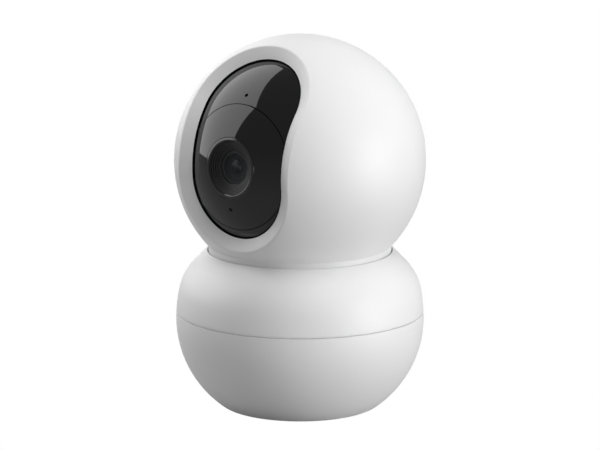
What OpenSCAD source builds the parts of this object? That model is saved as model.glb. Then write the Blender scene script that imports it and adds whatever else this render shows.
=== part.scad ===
// Indoor pan-and-tilt security camera: a ball-shaped head on a weighted bowl base.
// Millimetres. Origin at the centre of the foot, +Z up, the lens looks along -Y.

/* [Head] */
// Outer radius of the ball-shaped head
head_r = 39; // [38:0.5:40]
// Height of the head's centre, which is also the tilt axis
head_z = 78; // [77:0.5:80]
// Wall of the head shells
head_wall = 2; // [1.6:0.1:2.2]
// Plane behind the tilt axis where the front and rear head shells meet
head_split_y = 10; // [8:1:14]
// Radius of the neck collar that the head stands on
collar_r = 28.5; // [28:0.1:28.6]

/* [Slot] */
// Half the slot's angular width at the black window's edge
window_angle = 29.6; // [28:0.1:30]
// Half the slot's angular width at the outer edge of its bevel
bevel_angle = 33; // [32:0.1:34]
// Elevation of the centre of the slot's lower round end
slot_low = -5; // [-6:0.5:-3]
// Elevation of the centre of the slot's upper round end
slot_high = 39; // [36:0.5:41]

/* [Tilt ball] */
// Outer radius of the black ball inside the head
ball_r = 34.9; // [34.5:0.1:35]
// Half the ball's width between its flat sides
ball_half_w = 20; // [19.5:0.1:20.2]
// Wall of the ball's covers
ball_wall = 1.8; // [1.5:0.1:2]
// Elevation that the lens looks at, at rest
lens_up = 4; // [0:0.5:6]
// Radius of the ring round the lens
lens_ring_r = 9.4; // [9:0.1:9.6]
// Angular radius of the round lens face
face_angle = 33.2; // [32:0.1:33.4]

/* [Base] */
// Greatest radius of the base
base_r = 38.7; // [38.5:0.1:39]
// Height at which the base is widest
belly_z = 28; // [27:0.5:29]
// Height of the seam between the two base shells
seam_z = 30.4; // [30:0.1:31]
// Wall of the base shells
base_wall = 2.2; // [1.8:0.1:2.4]
// Rubber foot's thickness below the base shell
foot_proud = 0.6; // [0.4:0.1:0.8]

/* [Drive] */
// Module of both gear pairs
gear_module = 0.5; // [0.5:0.1:0.5]
// Teeth of the gear under the head
pan_gear_teeth = 64; // [62:2:66]
// Teeth of the pan motor's pinion
pan_pinion_teeth = 16; // [14:2:18]
// Teeth of the gear on the ball
tilt_gear_teeth = 40; // [36:2:40]
// Teeth of the tilt motor's pinion
tilt_pinion_teeth = 12; // [12:2:12]

/* [Hidden] */

$fn = 96;
big = 200;

// Running gap round a turning shaft
running = 0.05;
// Gap between two moving skins
skin_gap = 0.35;

// Outline of the base: an upper arc, a shoulder arc, a straight flank and a bowl arc
upper_arc_r = 44;
shoulder_r = 17;
shoulder_from = 12;
flank_angle = 45;
bowl_r = 33.5;
bottom_edge_r = 3;
bottom_z = foot_proud;
upper_arc_x = base_r - upper_arc_r;
shoulder_x = upper_arc_x + (upper_arc_r - shoulder_r) * cos(shoulder_from);
shoulder_z = belly_z + (upper_arc_r - shoulder_r) * sin(shoulder_from);
bowl_x = base_r - bowl_r;
bowl_angle = asin((belly_z - bottom_z - bottom_edge_r) / (bowl_r - bottom_edge_r));
bottom_edge_x = bowl_x + (bowl_r - bottom_edge_r) * cos(bowl_angle);
bottom_edge_z = bottom_z + bottom_edge_r;

// Neck: the head shells stand on the pan cup's rim
neck_z = head_z - sqrt(head_r * head_r - collar_r * collar_r);
mouth_r = collar_r + skin_gap;
cup_wall = 2;
cup_floor_top = 40.6;
cup_floor_t = 2;
cup_floor_z = cup_floor_top - cup_floor_t;

// Deck across the base, which carries the pan bearing and the pan motor
deck_z = 29.5;
deck_t = 2;
deck_top = deck_z + deck_t;
deck_r = 35.5;
deck_post_at = 17;
deck_post_r = 2.6;
deck_post_z = 14;
deck_screw_at = 32;
deck_notch_w = 25;
deck_notch_y = 20.5;
boss_r = 2.4;
boss_top = 42;

// Pan drive
hub_r = 8;
hub_bore_r = 5;
hub_end_z = 29.2;
retainer_r = 9.6;
retainer_t = 1.8;
retainer_screw_at = 6.5;
cable_r = 2;
bush_r = 9.5;
pan_gear_z = 32.4;
pan_gear_t = 3;
pan_centres = gear_module * (pan_gear_teeth + pan_pinion_teeth) / 2;
pan_motor_r = 10;
pan_motor_h = 12;
motor_shaft_r = 1;
motor_screw_at = 12.8;

// Foot, ballast and the screws that hold the base shells together
mouth_top = 49.7;
foot_in = 13.5;
foot_out = 20.8;
foot_groove = 0.7;
shell_screw_z = bottom_z + foot_groove + 2.6;
ballast_r = 22;
ballast_t = 3;

// Inside the base
board_z = 10;
power_board_r = 30.4;
board_t = 1.2;
usb_w = 8.94;
usb_h = 3.26;
usb_len = 7.35;
usb_wall = 0.3;
usb_z = board_z + board_t + usb_h / 2;
usb_face_y = 28.6;
recess_w = 13;
recess_h = 8;
recess_z = 13;
recess_wall = 1.4;
button_x = 12;
button_z = 13;
button_r = 1.7;
button_tip_y = 33.4;
button_travel = 0.5;
button_len = 5.2;
button_guide = 4.4;
button_flange = 0.6;
button_flange_r = 2.6;
speaker_z = 26.6;
speaker_r = 8;
speaker_y = 24.4;
speaker_t = 4;
gasket_wall_r = 35.03;
grille_z = 25.4;
grille_pitch = 2.6;
grille_r = 0.7;
insert_r = 4.8;
tripod_r = 3.175;
tripod_len = 7;

// Yoke, tilt bearings and tilt drive
arm_x = 22.5;
arm_t = 2;
arm_half_w = 7;
yoke_base_t = 1.6;
yoke_screw_x = 15;
yoke_screw_y = 9;
axle_r = 2.5;
tilt_bush_r = 4;
tilt_gear_t = 2;
tilt_centres = gear_module * (tilt_gear_teeth + tilt_pinion_teeth) / 2;
tilt_motor_r = 7.5;
tilt_motor_h = 5.5;

// Inside the ball
plate_t = 1.8;
plate_x = ball_half_w - plate_t;
ball_back_y = 3;
back_cover_t = 1.6;
frame_screw_x = 15;
frame_screw_z = 20;
ball_in_r = ball_r - ball_wall;
ring_front = sqrt(ball_r * ball_r - lens_ring_r * lens_ring_r);
barrel_r = 6;
glass_r = 5.2;
glass_front = ring_front - 1.9;
glass_t = 0.8;
barrel_from = 15;
barrel_to = glass_front - glass_t;
holder_half = 8;
sensor_board_at = 12;
main_board_at = 5.5;
main_board_h = 30;
sensor_board_h = 28;
led_ring_r = 12.3;
led_r = 1.6;
led_board_at = 24.2;
mic_up = 42.6;
light_up = -17.5;
card_up = -58;
card_slot_w = 12;
card_slot_h = 2.2;
card_socket_t = 2.6;
card_socket_from = 17.5;
pinhole_r = 0.45;
mic_r = 2;
pipe_cap_r = 1.3;
antenna_w = 8;
antenna_h = 26;
antenna_t = 0.8;

// ---- helpers -----------------------------------------------------------------------------

// Turns +Z to look out of the head's centre at an elevation above the front
module toward(up) {
    translate([0, 0, head_z]) rotate([90 - up, 0, 0]) children();
}

// Lays a shaft's +Z along +X through the tilt axis
module along_x(x) {
    translate([x, 0, head_z]) rotate([0, 90, 0]) children();
}

// Places its children at n places on a circle
module around(n, r, first = 0) {
    for (i = [0 : n - 1]) rotate([0, 0, first + 360 * i / n]) translate([r, 0, 0]) children();
}

// One level band of a disc: the part of a circle between two heights, outside the axis
module arc_band(x, z, r, z0, z1) {
    intersection() {
        translate([x, z]) circle(r = r);
        translate([0, z0]) square([base_r + 5, z1 - z0]);
    }
}

// Half section of the base, inset from its outer face by w
module base_section(w) {
    shoulder_z0 = shoulder_z + (shoulder_r - w) * sin(shoulder_from);
    flank_z0 = shoulder_z + (shoulder_r - w) * sin(flank_angle);
    flank_x0 = shoulder_x + (shoulder_r - w) * cos(flank_angle);
    flank_x1 = mouth_r - 6;
    bowl_z1 = belly_z - (bowl_r - w) * sin(bowl_angle);
    polygon([[0, flank_z0], [flank_x0, flank_z0], [flank_x1, flank_z0 + flank_x0 - flank_x1],
        [0, flank_z0 + flank_x0 - flank_x1]]);
    arc_band(shoulder_x, shoulder_z, shoulder_r - w, shoulder_z0, flank_z0);
    arc_band(upper_arc_x, belly_z, upper_arc_r - w, belly_z, shoulder_z0);
    arc_band(bowl_x, belly_z, bowl_r - w, bowl_z1, belly_z);
    arc_band(bottom_edge_x, bottom_edge_z, bottom_edge_r - w, bottom_z + w, bowl_z1);
    translate([0, bottom_z + w]) square([bottom_edge_x, bottom_edge_z - bottom_z - w]);
}

// The base as a solid, inset by w, between two heights
module base_solid(w, z0, z1) {
    rotate_extrude() intersection() {
        base_section(w);
        translate([0, z0]) square([base_r + 5, z1 - z0]);
    }
}

// The slot's space: a half section of [along, across] points swept up the front of the head,
// with a half turn of the same section at each end
module slot_sweep(section) {
    mirrored = [for (i = [len(section) - 2 : -1 : 1]) [section[i][0], -section[i][1]]];
    half_turn = [for (p = section) [p[1], p[0]]];
    translate([0, 0, head_z]) {
        rotate([90 - slot_low, 0, 0]) rotate([0, -90, 0])
            rotate_extrude(angle = slot_high - slot_low) polygon(concat(section, mirrored));
        rotate([90 - slot_high, 0, 0]) rotate_extrude(angle = 180) polygon(half_turn);
        rotate([90 - slot_low, 0, 0]) rotate([0, 0, 180])
            rotate_extrude(angle = 180) polygon(half_turn);
    }
}

// A wedge section with straight sides out of the head's centre
function wedge(angle, r) = [[0, 0], [r * cos(angle), r * sin(angle)], [r, 0]];

// The bevelled section: radial to the window's edge, then leaning out to the bevel's outer edge
window_edge_r = ball_r + skin_gap;
window_edge = window_edge_r * [cos(window_angle), sin(window_angle)];
bevel_edge = head_r * [cos(bevel_angle), sin(bevel_angle)];
bevelled = [[0, 0], window_edge, bevel_edge + (bevel_edge - window_edge), [head_r + 8, 0]];

// Part of the ball between its flat sides and in front of its back
module ball_space(r) {
    intersection() {
        translate([0, 0, head_z]) sphere(r = r);
        translate([-ball_half_w, -big, 0]) cube([2 * ball_half_w, big + ball_back_y, big]);
    }
}

// Spur gear lying on z = 0; a tooth points along +X, or a gap does when gap is true
module spur_gear(teeth, t, bore, gap = false) {
    pitch = gear_module * teeth / 2;
    root = pitch - 1.2 * gear_module;
    tip = pitch + 0.85 * gear_module;
    half = 360 / teeth / 4;
    linear_extrude(height = t) difference() {
        union() {
            circle(r = root);
            for (i = [0 : teeth - 1]) rotate([0, 0, (i + (gap ? 0.5 : 0)) * 360 / teeth])
                polygon([
                    [root - 0.3, -root * sin(half * 1.35)], [root, -root * sin(half * 1.35)],
                    [pitch, -pitch * sin(half * 0.86)], [tip, -tip * sin(half * 0.36)],
                    [tip, tip * sin(half * 0.36)], [pitch, pitch * sin(half * 0.86)],
                    [root, root * sin(half * 1.35)], [root - 0.3, root * sin(half * 1.35)]
                ]);
        }
        circle(r = bore);
    }
}

// Cross-recessed screw with its head on z = 0 and its shank down to -len
module screw(len, shank_r, cap_r, cap_h) {
    difference() {
        union() {
            cylinder(r = cap_r, h = cap_h);
            translate([0, 0, -len]) cylinder(r = shank_r, h = len);
        }
        for (a = [0, 90]) rotate([0, 0, a])
            translate([-cap_r * 0.55, -0.2, cap_h * 0.4]) cube([cap_r * 1.1, 0.4, cap_h]);
    }
}

// ---- base --------------------------------------------------------------------------------

module base_lower_shell() color("white") difference() {
    union() {
        difference() {
            base_solid(0, 0, seam_z);
            base_solid(base_wall, 0, seam_z + 1);
        }
        // Columns that the shell screws come up through, and the tripod insert's socket
        translate([0, 0, bottom_z + base_wall / 2]) {
            around(4, deck_post_at, 45) cylinder(r = deck_post_r, h = deck_post_z - bottom_z - base_wall / 2);
            cylinder(r = insert_r + 1.6, h = board_z - bottom_z - base_wall / 2);
        }
        // Walls round the plug recess and the reset button
        intersection() {
            base_solid(0, 0, seam_z);
            union() {
                translate([-recess_w / 2 - recess_wall, usb_face_y, recess_z - recess_h / 2 - recess_wall])
                    cube([recess_w + 2 * recess_wall, 12, recess_h + 2 * recess_wall]);
                translate([button_x, button_tip_y - button_guide, button_z]) rotate([-90, 0, 0])
                    cylinder(r = 3, h = 8);
            }
        }
    }
    // Groove for the foot, hole for the tripod insert, holes for the shell screws
    translate([0, 0, bottom_z - 1]) difference() {
        cylinder(r = foot_out + 0.1, h = 1 + foot_groove);
        cylinder(r = foot_in - 0.1, h = 3);
    }
    cylinder(r = insert_r, h = bottom_z + tripod_len);
    around(4, deck_post_at, 45) {
        cylinder(r = 1.3, h = big);
        cylinder(r = 2.1, h = shell_screw_z);
    }
    // Recess for the power plug, and the socket's window in its floor
    translate([-recess_w / 2, usb_face_y + recess_wall, recess_z - recess_h / 2])
        cube([recess_w, 20, recess_h]);
    translate([-usb_w / 2, usb_face_y - 1, usb_z - usb_h / 2]) cube([usb_w, 5, usb_h]);
    // Bore for the reset button, room for its flange, and the speaker's holes
    translate([button_x, 20, button_z]) rotate([-90, 0, 0]) {
        cylinder(r = button_r + 0.1, h = 30);
        cylinder(r = button_flange_r + 0.3, h = button_tip_y - button_guide - 20);
    }
    grille_holes();
}

// Round grille of small holes behind the speaker, as far as the seam
module grille_holes() {
    for (i = [-3 : 3], j = [-1 : 1]) if (abs(i) + abs(j) < 4)
        translate([i * grille_pitch, 20, grille_z + j * grille_pitch]) rotate([-90, 0, 0])
            cylinder(r = grille_r, h = 30, $fn = 24);
}

module base_upper_shell() color("white") {
    difference() {
        union() {
            difference() {
                base_solid(0, seam_z, mouth_top);
                base_solid(base_wall, seam_z - 1, mouth_top);
                translate([0, 0, seam_z]) cylinder(r = mouth_r, h = big);
            }
            // Bosses for the deck screws
            around(4, deck_screw_at, 45) translate([0, 0, deck_top])
                cylinder(r = boss_r, h = boss_top - deck_top);
        }
        around(4, deck_screw_at, 45) translate([0, 0, deck_top - 1]) cylinder(r = 0.8, h = 8);
    }
}

module foot_ring() color("dimgray") difference() {
    cylinder(r = foot_out, h = bottom_z + foot_groove);
    translate([0, 0, -1]) cylinder(r = foot_in, h = 5);
}

module ballast_plate() color("slategray") difference() {
    translate([0, 0, bottom_z + base_wall]) cylinder(r = ballast_r, h = ballast_t);
    cylinder(r = insert_r + 2, h = 20);
    around(4, deck_post_at, 45) cylinder(r = deck_post_r + 0.3, h = 20);
}

module tripod_insert() color("goldenrod") difference() {
    translate([0, 0, bottom_z]) cylinder(r = insert_r, h = tripod_len);
    cylinder(r = tripod_r, h = bottom_z + tripod_len - 1);
}

module power_board() color("seagreen") difference() {
    intersection() {
        translate([0, 0, board_z]) cylinder(r = power_board_r, h = board_t);
        translate([-20, -24, 0]) cube([40, 24 + usb_face_y - 1.5, 30]);
    }
    around(4, deck_post_at, 45) cylinder(r = deck_post_r + 0.3, h = 20);
    cylinder(r = insert_r, h = 20);
}

module usb_socket() color("silver") translate([0, usb_face_y + recess_wall, usb_z]) difference() {
    translate([-usb_w / 2, -usb_len, -usb_h / 2]) cube([usb_w, usb_len, usb_h]);
    translate([-usb_w / 2 + usb_wall, -usb_len + 1, -usb_h / 2 + usb_wall])
        cube([usb_w - 2 * usb_wall, usb_len, usb_h - 2 * usb_wall - 1.6]);
    translate([-usb_w / 2 + usb_wall, -usb_len + 1, usb_wall + 0.53])
        cube([usb_w - 2 * usb_wall, usb_len, usb_h / 2 - 2 * usb_wall - 0.53]);
}

module reset_switch() color("black")
    translate([button_x - 2.5, button_tip_y - button_len - button_travel - 3.6, board_z + board_t])
        cube([5, 3.5, 4]);

module reset_button() color("gray") translate([button_x, button_tip_y, button_z]) rotate([90, 0, 0]) {
    cylinder(r = button_r, h = button_len);
    translate([0, 0, button_len - button_flange]) cylinder(r = button_flange_r, h = button_flange);
}

module speaker() color("black") translate([0, speaker_y, speaker_z]) rotate([-90, 0, 0]) {
    cylinder(r = speaker_r, h = speaker_t);
    cylinder(r = speaker_r - 2, h = speaker_t + 0.5);
    translate([0, 0, -2]) cylinder(r = 5, h = 2);
}

// Tube from the speaker's rim to the inside of the base's wall
module speaker_gasket() color("dimgray") intersection() {
    translate([0, speaker_y + speaker_t, speaker_z]) rotate([-90, 0, 0]) difference() {
        cylinder(r = speaker_r, h = 20);
        translate([0, 0, -1]) cylinder(r = speaker_r - 1.6, h = 22);
    }
    cylinder(r = gasket_wall_r, h = big);
}

module base_deck() color("gainsboro") difference() {
    union() {
        translate([0, 0, deck_z]) cylinder(r = deck_r, h = deck_t);
        around(4, deck_post_at, 45) translate([0, 0, deck_post_z])
            cylinder(r = deck_post_r, h = deck_z - deck_post_z);
    }
    translate([-deck_notch_w / 2, deck_notch_y, deck_z - 1]) cube([deck_notch_w, 30, 5]);
    translate([0, 0, deck_z - 1]) cylinder(r = bush_r, h = 5);
    translate([0, -pan_centres, deck_z - 1]) cylinder(r = 4.6, h = 5);
    around(4, deck_screw_at, 45) cylinder(r = 1.1, h = big);
    around(4, deck_post_at, 45) translate([0, 0, deck_post_z - 1]) cylinder(r = 0.8, h = 11);
    for (x = [-1, 1]) translate([x * motor_screw_at, -pan_centres, deck_z - 1]) cylinder(r = 0.8, h = 5);
}

module deck_screws() color("silver") around(4, deck_screw_at, 45) translate([0, 0, deck_z])
    rotate([180, 0, 0]) screw(len = deck_t + 6, shank_r = 0.8, cap_r = 1.8, cap_h = 1.2);

module shell_screws() color("silver") around(4, deck_post_at, 45) translate([0, 0, shell_screw_z])
    rotate([180, 0, 0]) screw(len = deck_post_z + 8 - shell_screw_z, shank_r = 0.8, cap_r = 1.9, cap_h = 1.3);

// ---- pan drive ---------------------------------------------------------------------------

module pan_bush() color("ivory") difference() {
    union() {
        translate([0, 0, deck_z]) cylinder(r = bush_r, h = deck_t);
        translate([0, 0, deck_top]) cylinder(r = bush_r + 1.5, h = 0.6);
    }
    translate([0, 0, deck_z - 1]) cylinder(r = hub_r + running, h = 6);
}

module pan_motor() color("silver") translate([0, -pan_centres, 0]) {
    translate([0, 0, deck_z - pan_motor_h]) cylinder(r = pan_motor_r, h = pan_motor_h - 0.8);
    difference() {
        translate([-14.8, -3.2, deck_z - 0.8]) cube([29.6, 6.4, 0.8]);
        for (x = [-1, 1]) translate([x * motor_screw_at, 0, 0]) cylinder(r = 0.9, h = big);
    }
    translate([0, 0, deck_z - 0.8]) cylinder(r = 4.5, h = 2.4);
    translate([0, 0, deck_z]) cylinder(r = motor_shaft_r, h = 5.6);
}

module pan_motor_screws() color("silver") for (x = [-1, 1])
    translate([x * motor_screw_at, -pan_centres, deck_z - 0.8]) rotate([180, 0, 0])
        screw(len = deck_t + 0.6, shank_r = 0.8, cap_r = 1.6, cap_h = 1);

module pan_pinion() color("ivory") translate([0, -pan_centres, pan_gear_z - 0.2]) rotate([0, 0, 90])
    spur_gear(pan_pinion_teeth, pan_gear_t, motor_shaft_r + running, gap = true);

module pan_gear() color("ivory") translate([0, 0, pan_gear_z]) rotate([0, 0, -90])
    spur_gear(pan_gear_teeth, pan_gear_t, hub_r);

module pan_cup() color("white") difference() {
    union() {
        translate([0, 0, cup_floor_z]) cylinder(r = collar_r, h = neck_z - cup_floor_z);
        translate([0, 0, hub_end_z]) cylinder(r = hub_r, h = cup_floor_z - hub_end_z);
    }
    translate([0, 0, cup_floor_top]) cylinder(r = collar_r - cup_wall, h = 20);
    translate([0, 0, hub_end_z - 1]) cylinder(r = hub_bore_r, h = 20);
    around(3, retainer_screw_at, 90) translate([0, 0, hub_end_z - 1]) cylinder(r = 0.6, h = 6);
    for (x = [-1, 1], y = [-1, 1]) 
        translate([x * yoke_screw_x, y * yoke_screw_y, cup_floor_z - 1]) cylinder(r = 0.8, h = 5);
}

module hub_retainer() color("gainsboro") difference() {
    translate([0, 0, hub_end_z - retainer_t]) cylinder(r = retainer_r, h = retainer_t);
    cylinder(r = hub_bore_r, h = big);
    around(3, retainer_screw_at, 90) cylinder(r = 0.7, h = big);
}

module retainer_screws() color("silver") around(3, retainer_screw_at, 90)
    translate([0, 0, hub_end_z - retainer_t]) rotate([180, 0, 0])
        screw(len = retainer_t + 4, shank_r = 0.6, cap_r = 1.2, cap_h = 0.8);

module pan_cable() color("black") translate([0, 0, hub_end_z - 9])
    cylinder(r = cable_r, h = cup_floor_top + 1.5 - hub_end_z + 9);

// ---- head --------------------------------------------------------------------------------

// A ball round the head's centre whose facets reach its full radius at the poles and the equator
module full_ball(r) {
    translate([0, 0, head_z]) rotate_extrude() intersection() {
        circle(r = r);
        translate([0, -big / 2]) square(big);
    }
}

// Hollow head in front of the split, with a thick rim round the slot. It is built in flat
// facets, so its steps are a little coarser than elsewhere.
module head_front_shell($fn = 64) color("white") difference() {
    union() {
        difference() {
            full_ball(head_r);
            full_ball(head_r - head_wall);
        }
        difference() {
            intersection() {
                full_ball(head_r - head_wall / 2);
                slot_sweep(wedge(bevel_angle + 2, head_r + 8));
            }
            full_ball(window_edge_r);
        }
    }
    slot_sweep(bevelled);
    translate([-big / 2, -big / 2, neck_z - big]) cube(big);
    translate([-big / 2, head_split_y, 0]) cube(big);
}

module head_rear_shell() color("white") difference() {
    translate([0, 0, head_z]) sphere(r = head_r);
    translate([0, 0, head_z]) sphere(r = head_r - head_wall);
    translate([-big / 2, head_split_y - big, 0]) cube(big);
    translate([-big / 2, -big / 2, neck_z - big]) cube(big);
}

// Stuck by its corners to the inside of the rear shell
module wifi_antenna() color("seagreen") {
    back_y = sqrt(pow(head_r - head_wall, 2) - pow(antenna_w / 2, 2) - pow(antenna_h / 2, 2));
    translate([-antenna_w / 2, back_y - antenna_t, head_z - antenna_h / 2])
        cube([antenna_w, antenna_t, antenna_h]);
}

module yoke() color("gainsboro") difference() {
    union() {
        for (s = [-1, 1]) {
            translate([s * (arm_x + arm_t / 2) - arm_t / 2, -arm_half_w, cup_floor_top])
                cube([arm_t, 2 * arm_half_w, head_z - cup_floor_top]);
            along_x(s * (arm_x + arm_t / 2) - arm_t / 2) cylinder(r = arm_half_w, h = arm_t);
        }
        // Plate behind the right arm for the tilt motor
        translate([arm_x, 0, head_z - 5]) cube([arm_t, tilt_centres + 6, 10]);
        translate([-arm_x - arm_t, -arm_half_w, cup_floor_top])
            cube([2 * (arm_x + arm_t), 2 * arm_half_w, yoke_base_t]);
        for (x = [-1, 1]) translate([x * yoke_screw_x - 3, -12, cup_floor_top]) cube([6, 24, yoke_base_t]);
    }
    along_x(-big / 2) cylinder(r = tilt_bush_r, h = big);
    along_x(0) translate([0, tilt_centres, 0]) cylinder(r = 3.6, h = big);
    // Snug hole that holds the cable
    translate([0, 0, cup_floor_top - 1]) cylinder(r = cable_r, h = 5);
    for (x = [-1, 1], y = [-1, 1]) translate([x * yoke_screw_x, y * yoke_screw_y, 0])
        cylinder(r = 1, h = big);
}

module yoke_screws() color("silver") for (x = [-1, 1], y = [-1, 1])
    translate([x * yoke_screw_x, y * yoke_screw_y, cup_floor_z]) rotate([180, 0, 0])
        screw(len = cup_floor_t + yoke_base_t - 0.2, shank_r = 0.8, cap_r = 1.8, cap_h = 1);

module tilt_bush(side) color("ivory") difference() {
    union() {
        along_x(side * (arm_x + arm_t / 2) - arm_t / 2) cylinder(r = tilt_bush_r, h = arm_t);
        along_x(side * (arm_x + arm_t + 0.4) - 0.4) cylinder(r = tilt_bush_r + 1.2, h = 0.8);
    }
    along_x(-big / 2) cylinder(r = axle_r + running, h = big);
}
module tilt_bush_left() tilt_bush(-1);
module tilt_bush_right() tilt_bush(1);

module tilt_motor() color("silver") along_x(arm_x + arm_t) translate([0, tilt_centres, 0]) {
    cylinder(r = tilt_motor_r, h = tilt_motor_h);
    translate([0, 0, -arm_t]) cylinder(r = 3.5, h = arm_t);
    translate([0, 0, -arm_t - 2.2]) cylinder(r = motor_shaft_r, h = 2.2);
}

module tilt_pinion() color("ivory") along_x(ball_half_w + 0.2) translate([0, tilt_centres, 0])
    rotate([0, 0, -90]) spur_gear(tilt_pinion_teeth, tilt_gear_t - 0.1, motor_shaft_r + running, gap = true);

// ---- ball --------------------------------------------------------------------------------

// Space of the round lens face, wider by extra
module face_space(extra) {
    toward(lens_up) cylinder(r1 = 0, r2 = big / 2 * tan(face_angle + extra), h = big / 2);
}

module ball_front_cover() color("black") difference() {
    ball_space(ball_r);
    translate([0, 0, head_z]) sphere(r = ball_in_r);
    face_space(0.3);
    toward(mic_up) cylinder(r = pinhole_r, h = big, $fn = 24);
    toward(card_up) translate([-card_slot_w / 2, -card_slot_h / 2, 0])
        cube([card_slot_w, card_slot_h, big]);
}

module ball_rear_cover() color("black") difference() {
    intersection() {
        translate([0, 0, head_z]) sphere(r = ball_r);
        translate([-ball_half_w, ball_back_y, 0]) cube([2 * ball_half_w, back_cover_t, big]);
    }
    translate([0, 0, head_z - 24]) rotate([-90, 0, 0]) cylinder(r = 4, h = big);
    for (x = [-1, 1], z = [-1, 1]) translate([x * frame_screw_x, 0, head_z + z * frame_screw_z])
        rotate([-90, 0, 0]) cylinder(r = 0.7, h = big);
}

// Two side plates joined by bars and by a wall that holds the lens holder
module ball_frame() color("black") difference() {
    union() {
        intersection() {
            translate([0, 0, head_z]) sphere(r = ball_in_r);
            union() for (s = [-1, 1]) translate([s * (plate_x + plate_t / 2) - plate_t / 2, -big, 0])
                cube([plate_t, big + ball_back_y, big]);
        }
        for (z = [-1, 1]) translate([-plate_x - 0.5, -1, head_z + z * frame_screw_z - 2])
            cube([2 * plate_x + 1, ball_back_y + 1, 4]);
        toward(lens_up) translate([-plate_x - 0.5, -14, 16]) cube([2 * plate_x + 1, 28, 2]);
        // Shelf that carries the card socket
        toward(card_up) translate([-plate_x - 0.5, card_socket_t / 2, 18]) cube([2 * plate_x + 1, 1.6, 9]);
    }
    toward(lens_up) translate([-holder_half, -holder_half, 10]) cube([2 * holder_half, 2 * holder_half, 12]);
    along_x(-big / 2) cylinder(r = axle_r, h = big);
    for (x = [-1, 1], z = [-1, 1]) translate([x * frame_screw_x, -5, head_z + z * frame_screw_z])
        rotate([-90, 0, 0]) cylinder(r = 0.6, h = big);
}

module frame_screws() color("silver") for (x = [-1, 1], z = [-1, 1])
    translate([x * frame_screw_x, ball_back_y + back_cover_t, head_z + z * frame_screw_z]) rotate([-90, 0, 0])
        screw(len = 4.6, shank_r = 0.6, cap_r = 1.3, cap_h = 0.8);

module tilt_axle_left() color("silver") along_x(-arm_x - arm_t - 1.2)
    cylinder(r = axle_r, h = arm_x + arm_t + 1.2 - plate_x);
module tilt_axle_right() color("silver") along_x(plate_x)
    cylinder(r = axle_r, h = arm_x + arm_t + 1.2 - plate_x);

module tilt_gear() color("ivory") along_x(ball_half_w) rotate([0, 0, 90])
    spur_gear(tilt_gear_teeth, tilt_gear_t, axle_r);

module lens_face() color("black") difference() {
    intersection() {
        difference() {
            translate([0, 0, head_z]) sphere(r = ball_r);
            translate([0, 0, head_z]) sphere(r = ball_in_r);
        }
        face_space(0);
    }
    toward(lens_up) cylinder(r = lens_ring_r, h = big);
    toward(light_up) cylinder(r = pinhole_r + 0.1, h = big, $fn = 24);
}

// Ring with a bright lip and a dark funnel down to the glass
module lens_ring() color("black") toward(lens_up) rotate_extrude() polygon([
    [lens_ring_r, ring_front - 2.6], [lens_ring_r, ring_front - 0.1], [lens_ring_r - 0.3, ring_front + 0.1],
    [lens_ring_r - 1, ring_front + 0.2], [lens_ring_r - 1.3, ring_front],
    [glass_r + 0.3, glass_front], [glass_r, glass_front], [glass_r, glass_front - glass_t],
    [barrel_r, glass_front - glass_t], [barrel_r, ring_front - 3.6], [lens_ring_r - 1, ring_front - 3.6],
    [lens_ring_r - 1, ring_front - 2.6]
]);

module front_glass() color("lightblue", 0.5) toward(lens_up) translate([0, 0, glass_front - glass_t])
    cylinder(r = glass_r, h = glass_t);

module lens_barrel() color("dimgray") toward(lens_up) difference() {
    translate([0, 0, barrel_from]) cylinder(r = barrel_r, h = barrel_to - barrel_from);
    translate([0, 0, barrel_from - 1]) cylinder(r = 3.2, h = 30);
    translate([0, 0, barrel_from + 6]) cylinder(r = 4.4, h = 30);
}

// A round lens: a disc with a domed front
module lens_blank(r, edge, dome_r) intersection() {
    cylinder(r = r, h = 10);
    translate([0, 0, edge - sqrt(dome_r * dome_r - r * r)]) sphere(r = dome_r);
}

module lens_element_front() color("lightblue", 0.5) toward(lens_up) translate([0, 0, barrel_to - 3.4])
    lens_blank(4.4, 1.4, 7);
module lens_element_rear() color("lightblue", 0.5) toward(lens_up) translate([0, 0, barrel_from + 1.5])
    lens_blank(3.2, 1.2, 9);

module lens_holder() color("black") toward(lens_up) difference() {
    translate([-holder_half, -holder_half, sensor_board_at + board_t])
        cube([2 * holder_half, 2 * holder_half, 8]);
    translate([0, 0, sensor_board_at]) cylinder(r = barrel_r, h = 20);
}

module image_sensor() color("midnightblue") toward(lens_up)
    translate([-3.6, -2.8, sensor_board_at + board_t]) cube([7.2, 5.6, 0.9]);

module sensor_board() color("seagreen") toward(lens_up)
    translate([-plate_x, -sensor_board_h / 2, sensor_board_at]) cube([2 * plate_x, sensor_board_h, board_t]);

module main_board() color("seagreen") toward(lens_up)
    translate([-plate_x, -main_board_h / 2, main_board_at]) cube([2 * plate_x, main_board_h, board_t]);

module shield_can() color("silver") toward(lens_up)
    translate([-9, -9, main_board_at - 1.8]) cube([18, 18, 1.8]);

module ir_led_board() color("seagreen") toward(lens_up) translate([0, 0, led_board_at]) difference() {
    cylinder(r = 14.5, h = board_t);
    translate([0, 0, -1]) cylinder(r = barrel_r, h = 5);
}

module ir_leds() color("black") toward(lens_up) around(6, led_ring_r, 30)
    translate([0, 0, led_board_at + board_t]) lens_blank(led_r, 1.4, 1.9);

module microphone() color("silver") toward(mic_up) translate([0, 0, under_skin(mic_r) - 1.4])
    cylinder(r = mic_r, h = 1.4);

// Height at which a disc of radius r touches the inside of the ball's skin
function under_skin(r) = sqrt(ball_in_r * ball_in_r - r * r);

module light_pipe() color("white") toward(light_up) {
    translate([0, 0, under_skin(pipe_cap_r) - 1])
        cylinder(r = pinhole_r, h = ball_r - 0.15 - under_skin(pipe_cap_r) + 1, $fn = 24);
    translate([0, 0, under_skin(pipe_cap_r) - 1]) cylinder(r = pipe_cap_r, h = 1);
}

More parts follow.
